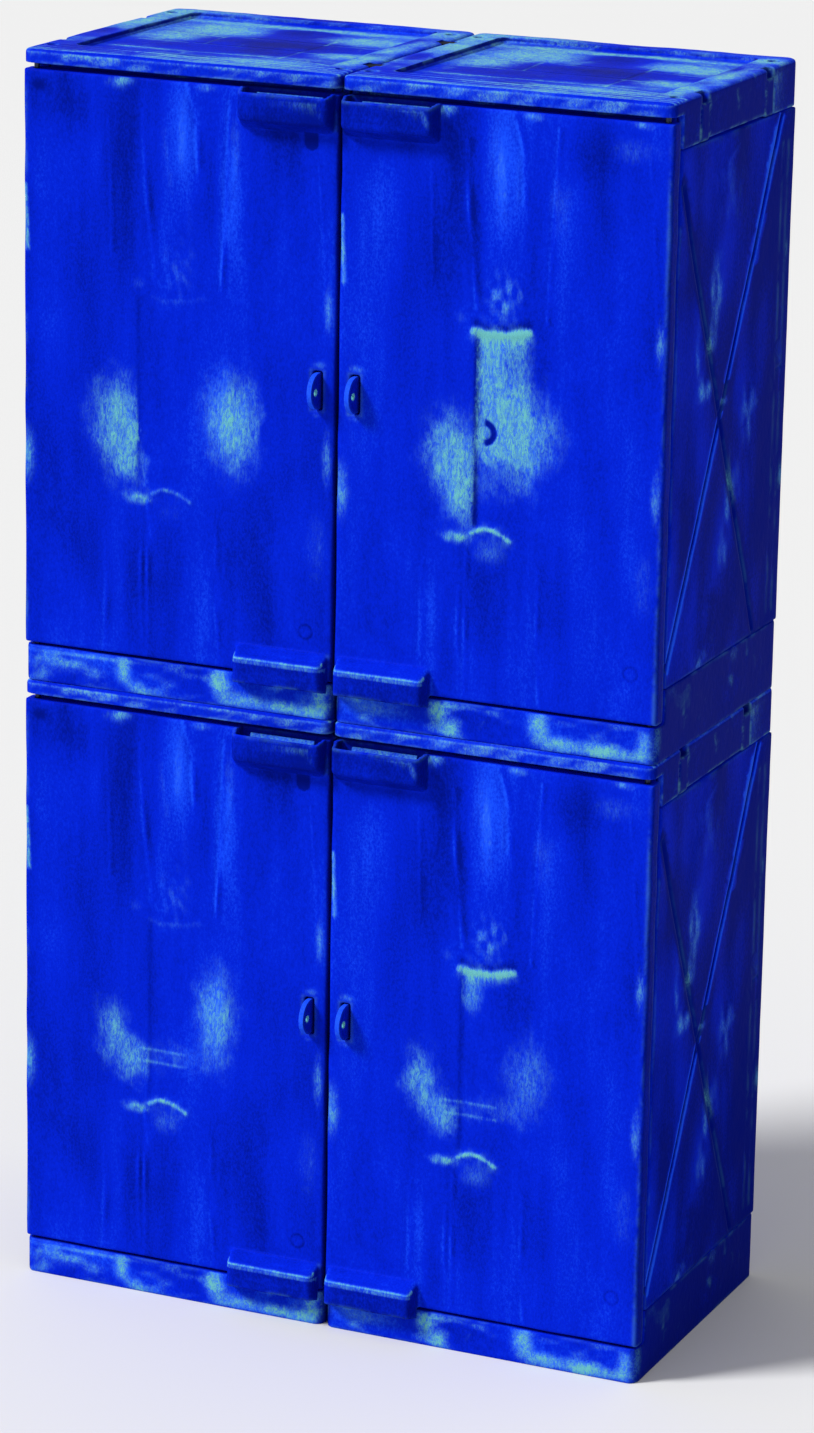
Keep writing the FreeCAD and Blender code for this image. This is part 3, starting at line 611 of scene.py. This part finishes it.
def paint_lid(co, no, row, column):
    """Pale mask and tone of a top: the recess mottled with painted sheen and painted light along its back
    wall, painted shade on its walls, skirts and notches, pale borders and lips.
    """
    u, s = on_top(co, column)
    top = np.clip((no[:, 2] - 0.2) * 3, 0, 1)
    sheen_and_marks = spots(u, s, TOP_SHEEN)
    tone = spots(u, s, TOP_SHADES)
    sheen_and_marks -= 0.8 * np.clip(-tone, 0, 1)
    # painted highlight along one edge of each tile groove and painted shade in the groove
    for line in TILE_LINES:
        shifted = tuple((a, b - 0.004) for a, b in line)
        sheen_and_marks += 0.45 * stroke(u, s, shifted, 0.0028)
        tone -= 0.8 * stroke(u, s, line, 0.003)
    border = 1 - band(u, RECESS_X, MODULE_W - RECESS_X, 0.004) * band(s, *RECESS_Y, 0.004)
    stripes = sum(np.exp(-((s - depth) / 0.0026) ** 2) for depth in LIP_STRIPES)
    outer = np.minimum(u, MODULE_W - u)
    notches = sum(band(s, place - 0.0135, place + 0.0135, 0.002) for place in NOTCH_Y)
    notches = notches * (1 - rise_at(outer, 0.0125, 0.002)) * (co[:, 2] < cad_box[1].z - rise - 0.002)
    sheen_and_marks += 0.16 + 0.22 * border * np.clip(0.5 + ripples(co, 46, 0.05, (3, 1, 1)), 0, 1)
    sheen_and_marks += 0.35 * stripes - 0.25 * (s < 0.06) * (1 - stripes) * border
    walls = 1 - top
    skirts = np.clip(np.abs(no[:, 0]) - 0.5, 0, 0.5) * 2
    side = 0.55 * spot(s, co[:, 2], (0.40, lid_foot + 0.035), (0.035, 0.03))
    side += 0.45 * stroke(s, co[:, 2], ((0.225, lid_foot), (0.245, lid_foot + 0.05)), 0.006)
    side += 0.40 * stroke(s, co[:, 2], ((0.155, lid_foot + 0.012), (0.165, lid_foot + 0.05)), 0.006)
    lip_marks = 0.10 + 0.35 * np.clip(ripples(co, 45, 0.07, (1, 1, 0.3)), 0, 1)
    ledge = np.exp(-((co[:, 2] - cad_box[1].z + rise + 0.004) / 0.003) ** 2)
    lip_marks += 0.30 * ledge
    walls_sheen_and_marks = (side * skirts + lip_marks * (1 - skirts)) * border
    # painted shade on the recess walls, the side skirts and in the notches
    tone = tone * top - (1.7 * skirts + 2.4 * (1 - border)) * walls - 4 * notches
    return (np.clip(sheen_and_marks, 0, 0.95) * top + walls_sheen_and_marks * walls) * (1 - notches), tone


# ---- bases ----
# painted sheen patches on the front sill
SILL_PATCHES = (
    ((0.160, 0.034), (0.011, 0.018), 0.85), ((0.182, 0.010), (0.014, 0.010), 0.60),
    ((0.312, 0.036), (0.014, 0.020), 0.85), ((0.345, 0.012), (0.030, 0.011), 0.65),
    ((0.420, 0.010), (0.050, 0.010), 0.70), ((0.470, 0.026), (0.010, 0.02), 0.60),
    ((0.060, 0.030), (0.070, 0.016), 0.22), ((0.100, 0.046), (0.10, 0.003), 0.40),
)
SKIRT_PATCHES = (               # painted sheen patches, placed (from the front, above the module's foot) as on the panels
    ((0.300, 0.090), (0.018, 0.014), 0.50), ((0.290, 0.055), (0.014, 0.010), 0.45),
    ((0.060, 0.092), (0.025, 0.010), 0.35), ((0.012, 0.035), (0.012, 0.030), 0.60),
)


def shape_tray(co, no, row, column):
    side = np.clip((np.abs(no[:, 0]) + np.abs(no[:, 1]) - 0.6) * 2, 0, 1)
    depth = 0.6 * ripples(co, 51, 0.12) + 0.2 * ripples(co, 52, 0.04) - 0.6
    co += no * (side * depth * 0.6 * MM)[:, None]
    return co


def paint_tray(co, no, row, column):
    """Pale mask and tone of a base: painted pale sheen on the sill, and painted shade on the skirts at the
    sides.
    """
    u, w = on_door(co, column)
    s = co[:, 1] - FRONT_Y
    front = np.clip((-no[:, 1] - 0.3) * 2, 0, 1) * (s < 0.03)
    side = np.clip((np.abs(no[:, 0]) - 0.3) * 2, 0, 1)
    sill_sheen = 0.35 * np.clip(ripples(co, 55, 0.06, (1, 1, 0.4)) - 0.1, 0, 1)
    sheen_and_marks = front * (1.25 * spots(u, w, SILL_PATCHES) + sill_sheen) + 0.6 * side * spots(s, w, SKIRT_PATCHES)
    sill_tone = 0.5 * ripples(co, 54, 0.16, (1, 1, 0.5)) - 0.3 * band(u, 0.175, 0.295, 0.02)
    # painted shade on the side skirts
    return sheen_and_marks, front * sill_tone - 1.6 * side


def shape_plain(co, no, row, column):
    return co + no * (0.12 * ripples(co, 61, 0.03) * MM)[:, None]


def paint_plain(co, no, row, column):
    return 0.3 * np.clip(ripples(co, 62, 0.03), 0, 1), 0.3 * ripples(co, 63, 0.05)


def shape_latch(co, no, row, column):
    """Slightly slimmer tongue with a rounded rear foot, clear of the pocket's soft corners when pressed."""
    way = 1 if co[0, 2] > base_low.z + rise / 2 else -1
    foot = way * (way * co[:, 2]).min()
    into_rear = np.maximum(TONGUE_ROUND - (co[:, 1].max() - co[:, 1]), 0)
    into_foot = np.maximum(TONGUE_ROUND - way * (co[:, 2] - foot), 0)
    away = np.maximum(np.hypot(into_rear, into_foot), 1e-9)
    cut = (into_rear > 0) * (into_foot > 0) * (1 - np.minimum(TONGUE_ROUND / away, 1))
    co[:, 1] -= cut * into_rear
    co[:, 2] += cut * into_foot * way
    return co - no * 0.25 * MM


def paint_latch(co, no, row, column):
    """The tongues are painted paler as painted light, though they sit in shade, with a fine weave."""
    return 0.50 + 0.13 * ripples(co, 64, 0.004), 0.3 * ripples(co, 65, 0.006)


def paint_lug(co, no, row, column):
    """Padlock lug: painted shade on its cheeks, a painted lit rim, and painted light in its eye."""
    low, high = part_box("lock_lug_lower_" + column)
    eye = np.hypot(co[:, 1] - FRONT_Y + EYE_REACH, co[:, 2] - (low.z + high.z) / 2)
    highlight = 1 - rise_at(eye, 5.2 * MM, 1.2 * MM)
    rim = np.clip(1.4 - 2 * np.abs(no[:, 0]), 0, 1)
    return 0.20 * rim + 2.0 * highlight, 1.8 * rim - 0.7


# ---- materials ----
class Nodes:
    """Short ways to wire a material's nodes."""

    def __init__(self, name):
        self.material = bpy.data.materials.new(name)
        self.material.use_nodes = True
        self.tree = self.material.node_tree
        self.shader = self.tree.nodes["Principled BSDF"]
        self.place = self.new("ShaderNodeTexCoord").outputs["Object"]

    def new(self, kind, **values):
        node = self.tree.nodes.new(kind)
        for key, value in values.items():
            setattr(node, key, value)
        return node

    def link(self, source, target):
        self.tree.links.new(source, target)

    def put(self, node, socket, value):
        if isinstance(value, (int, float, tuple)):
            node.inputs[socket].default_value = value
        else:
            self.link(value, node.inputs[socket])

    def noise(self, scale, stretch=(1, 1, 1), detail=3.0, roughness=0.5, shift=0.0, distortion=0.0, lean=0.0):
        mapping = self.new("ShaderNodeMapping")
        mapping.inputs["Rotation"].default_value = (0, lean, 0)
        mapping.inputs["Scale"].default_value = stretch
        mapping.inputs["Location"].default_value = (shift, shift, shift)
        self.link(self.place, mapping.inputs["Vector"])
        node = self.new("ShaderNodeTexNoise")
        node.inputs["Scale"].default_value = scale
        node.inputs["Detail"].default_value = detail
        node.inputs["Roughness"].default_value = roughness
        node.inputs["Distortion"].default_value = distortion
        self.link(mapping.outputs["Vector"], node.inputs["Vector"])
        return node.outputs["Fac"]

    def ramp(self, value, low, high, start=0.0, end=1.0):
        """value's span low to high, spread smoothly over start to end."""
        node = self.new("ShaderNodeMapRange", interpolation_type="SMOOTHSTEP")
        self.link(value, node.inputs["Value"])
        for socket, number in (("From Min", low), ("From Max", high), ("To Min", start), ("To Max", end)):
            node.inputs[socket].default_value = number
        return node.outputs["Result"]

    def math(self, kind, a, b=0.0):
        node = self.new("ShaderNodeMath", operation=kind, use_clamp=False)
        self.put(node, 0, a)
        self.put(node, 1, b)
        return node.outputs[0]

    def mix(self, factor, a, b):
        node = self.new("ShaderNodeMix", data_type="RGBA")
        self.put(node, "Factor", factor)
        self.put(node, 6, a)
        self.put(node, 7, b)
        return node.outputs[2]

    def attribute(self, name):
        return self.new("ShaderNodeAttribute", attribute_name=name).outputs["Fac"]

    def bump(self, height, strength, distance, under=None):
        node = self.new("ShaderNodeBump")
        node.inputs["Strength"].default_value = strength
        node.inputs["Distance"].default_value = distance
        self.link(height, node.inputs["Height"])
        if under is not None:
            self.link(under, node.inputs["Normal"])
        return node.outputs["Normal"]


DEEP = (0.0006, 0.0060, 0.215, 1)
BLUE = (0.0012, 0.0150, 0.570, 1)
BRIGHT = (0.0080, 0.0700, 0.860, 1)
PALE_SHEEN = (0.125, 0.440, 0.460, 1)
PALE_SHEEN_TOP = (0.170, 0.500, 0.460, 1)


def polyethylene(name, sheen_clouds, shift, vertical=0.35, gloss=0.004, sheen_colour=PALE_SHEEN):
    """Moulded blue polyethylene: deep blue with streaks and painted light and shade, painted pale sheen and
    pale marks in threads, painted highlights on outward edges, pebble grain.
    """
    n = Nodes(name)
    broad = n.noise(7.0, (1, 1, vertical), 4.0, 0.60, shift, 0.5)
    streak = n.noise(40.0, (1, 1, vertical * 0.4), 5.0, 0.62, shift + 3, 0.3)
    wisps = n.noise(16.0, (1, 1, vertical * 1.6), 6.0, 0.65, shift + 7, 0.8)
    hair = n.noise(330.0, (1, 1, 0.60), 3.0, 0.70, shift)
    threads = n.noise(230.0, (1.1, 1, 0.15 + vertical * 0.6), 5.0, 0.72, shift, 1.2, -0.55)
    wool = n.noise(55.0, (1.2, 1, 0.3 + vertical * 0.5), 4.0, 0.65, shift + 11, 0.8, -0.4)
    level = n.math("MULTIPLY", n.attribute("tone"), 0.42)
    level = n.math("ADD", level, n.ramp(broad, 0.30, 0.72, 0.32, 0.66))
    level = n.math("ADD", level, n.ramp(streak, 0.30, 0.72, -0.05, 0.07))
    level = n.math("ADD", level, n.ramp(hair, 0.28, 0.72, -0.16, 0.17))
    level = n.math("ADD", level, n.math("MULTIPLY", n.attribute("sheen_and_marks"), 0.60))
    tone = n.mix(n.ramp(level, -0.20, 0.60), DEEP, BLUE)
    tone = n.mix(n.ramp(level, 0.50, 1.20), tone, BRIGHT)
    # painted pale sheen and pale marks from the pale mask, broken into threads and wool, with random clouds
    # of painted sheen
    cover = n.math("MULTIPLY", n.attribute("sheen_and_marks"), n.ramp(threads, 0.34, 0.66, 0.42, 1.15))
    cover = n.math("MULTIPLY", cover, n.ramp(wool, 0.34, 0.62, 0.72, 1.12))
    cover = n.math("ADD", cover, n.ramp(wisps, 0.52, 0.80, 0.0, sheen_clouds))
    pale = n.ramp(cover, 0.04, 1.12)
    # painted highlight on outward corners, broken by the wisps
    highlight = n.math("MULTIPLY", n.attribute("edge"), n.ramp(wisps, 0.42, 0.66, 0.0, 0.55))
    tone = n.mix(n.math("MAXIMUM", pale, highlight), tone, sheen_colour)
    n.link(tone, n.shader.inputs["Base Color"])
    n.link(n.ramp(broad, 0.2, 0.8, 0.34, 0.46), n.shader.inputs["Roughness"])
    pebble = n.noise(620.0, (1, 1, 1), 2.0, 0.5)
    peel = n.noise(120.0, (1, 1, 0.7), 2.0, 0.5, shift)
    raised = n.math("MULTIPLY", threads, n.math("MULTIPLY", pale, 1.2))
    soft = n.bump(n.math("ADD", peel, raised), 0.55, 0.9 * MM)
    n.link(n.bump(pebble, 0.35, 0.25 * MM, soft), n.shader.inputs["Normal"])
    n.shader.inputs["Specular IOR Level"].default_value = gloss
    return n.material


def steel(name):
    n = Nodes(name)
    turned = n.noise(300.0, (1, 1, 0.05), 3.0, 0.6)
    n.link(n.mix(turned, (0.02, 0.025, 0.05, 1), (0.05, 0.06, 0.10, 1)), n.shader.inputs["Base Color"])
    n.shader.inputs["Metallic"].default_value = 1.0
    n.link(n.math("ADD", n.math("MULTIPLY", turned, 0.2), 0.22), n.shader.inputs["Roughness"])
    n.link(n.bump(turned, 0.2, 0.1 * MM), n.shader.inputs["Normal"])
    return n.material


def black_plastic(name):
    n = Nodes(name)
    grain = n.noise(500.0, (1, 1, 1), 2.0, 0.5)
    dust = n.noise(40.0, (1, 1, 1), 4.0, 0.6)
    n.link(n.mix(n.ramp(dust, 0.4, 0.8), (0.0010, 0.0015, 0.006, 1), (0.006, 0.008, 0.020, 1)),
           n.shader.inputs["Base Color"])
    n.link(n.math("ADD", n.math("MULTIPLY", dust, 0.2), 0.4), n.shader.inputs["Roughness"])
    n.link(n.bump(grain, 0.3, 0.2 * MM), n.shader.inputs["Normal"])
    n.shader.inputs["Specular IOR Level"].default_value = 0.03
    return n.material


MATERIALS = {
    "door": polyethylene("door_polyethylene", 0.10, 0.0),
    "side": polyethylene("side_polyethylene", 0.16, 5.0, 0.5, 0.002),
    "lid": polyethylene("lid_polyethylene", 0.40, 9.0, 1.0, 0.003, PALE_SHEEN_TOP),
    "tray": polyethylene("tray_polyethylene", 0.30, 13.0, 1.0, 0.003),
    "inside": polyethylene("inside_polyethylene", 0.10, 17.0, 1.0),
    "steel": steel("pin_steel"),
    "black": black_plastic("clip_plastic"),
}


# ---- masks painted on the meshes ----
# The pale mask says where the plastic is painted pale: painted sheen and highlights, and pale marks; "tone"
# where its blue is darker or brighter, much of it painted light and shade; and "edge" where its outward
# corners are, given a painted highlight.
def write_mask(mesh, name, value):
    mesh.attributes.new(name, "FLOAT", "POINT").data.foreach_set("value", value.astype(np.float32))


def edge_mask(mesh, tree, mirror, reach=3.0 * MM):
    """1 on the piece's outward corners and 0 on its faces."""
    co, _ = arrays(mesh)
    if mirror:
        co[:, 0] *= -1
    away = np.array([tree.find(p)[2] for p in co])
    return np.exp(-((away / reach) ** 2))


# ---- pieces ----
# kind of node: (voxel, smoothing rounds, triangles, shape, paint, material, record slot)
KINDS = {
    "door": (2.0 * MM, 5, 180000, shape_door, paint_door, "door", "door"),
    "base_tray": (2.0 * MM, 4, 110000, shape_tray, paint_tray, "tray", "shell"),
    "top_panel": (2.0 * MM, 4, 130000, shape_lid, paint_lid, "lid", "shell"),
    "outer_side": (2.0 * MM, 4, 100000, shape_panel, paint_panel, "side", "shell"),
    "inner_side": (2.5 * MM, 4, 50000, shape_panel, paint_panel, "side", "shell"),
    "back_panel": (2.5 * MM, 4, 60000, shape_back, paint_back, "side", "shell"),
    "shelf": (2.5 * MM, 4, 40000, shape_plain, paint_plain, "inside", "shelf"),
    "lock_lug": (0.8 * MM, 4, 9000, shape_plain, paint_lug, "door", "lug"),
    "latch_upper": (0.8 * MM, 3, 14000, shape_latch, paint_latch, "inside", "latch"),
    "latch_lower": (0.8 * MM, 3, 12000, shape_latch, paint_latch, "inside", "latch"),
}
# strength of the painted highlight on outward corners, by kind of node
EDGE_HIGHLIGHT = {"lock_lug": 0.1, "door": 0.35, "top_panel": 0.8, "base_tray": 0.4, "outer_side": 0.2}
TONGUE_ROUND = 3.5 * MM


def add_piece(name, mesh, body, node, material, lift=0.0):
    mesh.materials.clear()
    mesh.materials.append(MATERIALS[material])
    mesh.shade_smooth()
    piece = bpy.data.objects.new(name, mesh)
    bpy.context.scene.collection.objects.link(piece)
    piece.location.z = lift
    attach(piece, body)
    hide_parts(node)
    return piece


def body_of_node(node):
    return next(b for b, members in frame["record"]["behaviour"]["bodies"].items() if node in members)


def finished_mesh(source, tree, kind, row, column):
    """One piece's mesh: mirrored if need be, shaped, thinned and painted."""
    shape, paint = KINDS[kind][3:5]
    mesh = source.copy() if column == "left" else mirrored(source)
    co, no = arrays(mesh)
    set_points(mesh, np.clip(shape(co, no, row, column), LIMIT_LOW, LIMIT_HIGH))
    mesh = thinned(mesh, KINDS[kind][2])
    mesh.name = f"{kind}_{row}_{column}"
    co, no = arrays(mesh)
    sheen_and_marks, tone = paint(co, no, row, column)
    write_mask(mesh, "sheen_and_marks", sheen_and_marks)
    write_mask(mesh, "tone", tone)
    write_mask(mesh, "edge", EDGE_HIGHLIGHT.get(kind, 1.0) * edge_mask(mesh, tree, column == "right"))
    return mesh


def build_kind(kind):
    """All four pieces of one kind of node. Only the doors differ from row to row."""
    voxel, rounds = KINDS[kind][:2]
    material, slot = KINDS[kind][5:]
    source, tree = soft_mesh(f"{kind}_lower_left", voxel, rounds)
    for column in COLUMNS:
        mesh = None
        for row in ROWS:
            if mesh is None or kind == "door":
                mesh = finished_mesh(source, tree, kind, row, column)
            node = f"{kind}_{row}_{column}"
            lift = rise if row == "upper" else 0.0
            add_piece("moulded_" + node, mesh, body_of_node(node), node, material, lift)


def finish_small_nodes():
    """Materials of the CAD nodes that are shown as they are."""
    for name, node in frame["nodes"].items():
        if name.startswith("hinge_pins"):
            node.data.materials.clear()
            node.data.materials.append(MATERIALS["steel"])
        if name.startswith(("joining_clips", "stacking_keys")):
            node.data.materials.clear()
            node.data.materials.append(MATERIALS["black"])


# ---- floor, lights and camera ----
def add_floor():
    mesh = bpy.data.meshes.new("floor")
    half = 40.0
    z = cad_box[0].z
    corners = [(-half, -half, z), (half, -half, z), (half, half, z), (-half, half, z)]
    mesh.from_pydata(corners, [], [(0, 1, 2, 3)])
    floor = bpy.data.objects.new("floor", mesh)
    bpy.context.scene.collection.objects.link(floor)
    material = bpy.data.materials.new("floor_paint")
    material.use_nodes = True
    shader = material.node_tree.nodes["Principled BSDF"]
    shader.inputs["Base Color"].default_value = (0.70, 0.70, 0.70, 1)
    shader.inputs["Roughness"].default_value = 0.8
    mesh.materials.append(material)


def add_sun(name, azimuth, elevation, angle, strength):
    """Distant soft light, azimuth in degrees from straight ahead of the doors, to the right."""
    data = bpy.data.lights.new(name, "SUN")
    data.angle = math.radians(angle)
    data.energy = strength
    lamp = bpy.data.objects.new(name, data)
    a, e = math.radians(azimuth), math.radians(elevation)
    source = Vector((math.sin(a) * math.cos(e), -math.cos(a) * math.cos(e), math.sin(e)))
    lamp.location = source * 5
    lamp.rotation_mode = "QUATERNION"
    lamp.rotation_quaternion = (-source).to_track_quat("-Z", "Y")
    bpy.context.scene.collection.objects.link(lamp)


def add_lights():
    world = bpy.data.worlds.new("studio")
    bpy.context.scene.world = world
    world.use_nodes = True
    world.node_tree.nodes["Background"].inputs["Color"].default_value = (1.0, 1.0, 1.0, 1)
    world.node_tree.nodes["Background"].inputs["Strength"].default_value = 0.5
    add_sun("key", -50, 42, 14, 3.6)
    bpy.context.scene.view_settings.view_transform = "Standard"


CAMERA_AZIMUTH = 23.9
CAMERA_ELEVATION = 15.67
CAMERA_ROLL = 1.06
CAMERA_DISTANCE = 7.517
CAMERA_LENS = 130.3
CAMERA_AIM = (0.0112, 0.0, 0.8636)     # from the middle of the modules' footprint


def add_camera():
    data = bpy.data.cameras.new("camera")
    camera = bpy.data.objects.new("camera", data)
    bpy.context.scene.collection.objects.link(camera)
    azimuth, elevation = math.radians(CAMERA_AZIMUTH), math.radians(CAMERA_ELEVATION)
    back = Vector((math.sin(azimuth) * math.cos(elevation), -math.cos(azimuth) * math.cos(elevation),
                   math.sin(elevation)))
    aim = Vector((CAMERA_AIM[0], (FRONT_Y + BACK_Y) / 2 + CAMERA_AIM[1], CAMERA_AIM[2]))
    camera.location = aim + back * CAMERA_DISTANCE
    camera.rotation_mode = "QUATERNION"
    roll = Quaternion((0, 0, 1), math.radians(CAMERA_ROLL))
    camera.rotation_quaternion = (-back).to_track_quat("-Z", "Y") @ roll
    data.sensor_width = 36.0
    data.lens = CAMERA_LENS
    bpy.context.scene.camera = camera


for each in KINDS:
    build_kind(each)
finish_small_nodes()
add_floor()
add_lights()
add_camera()
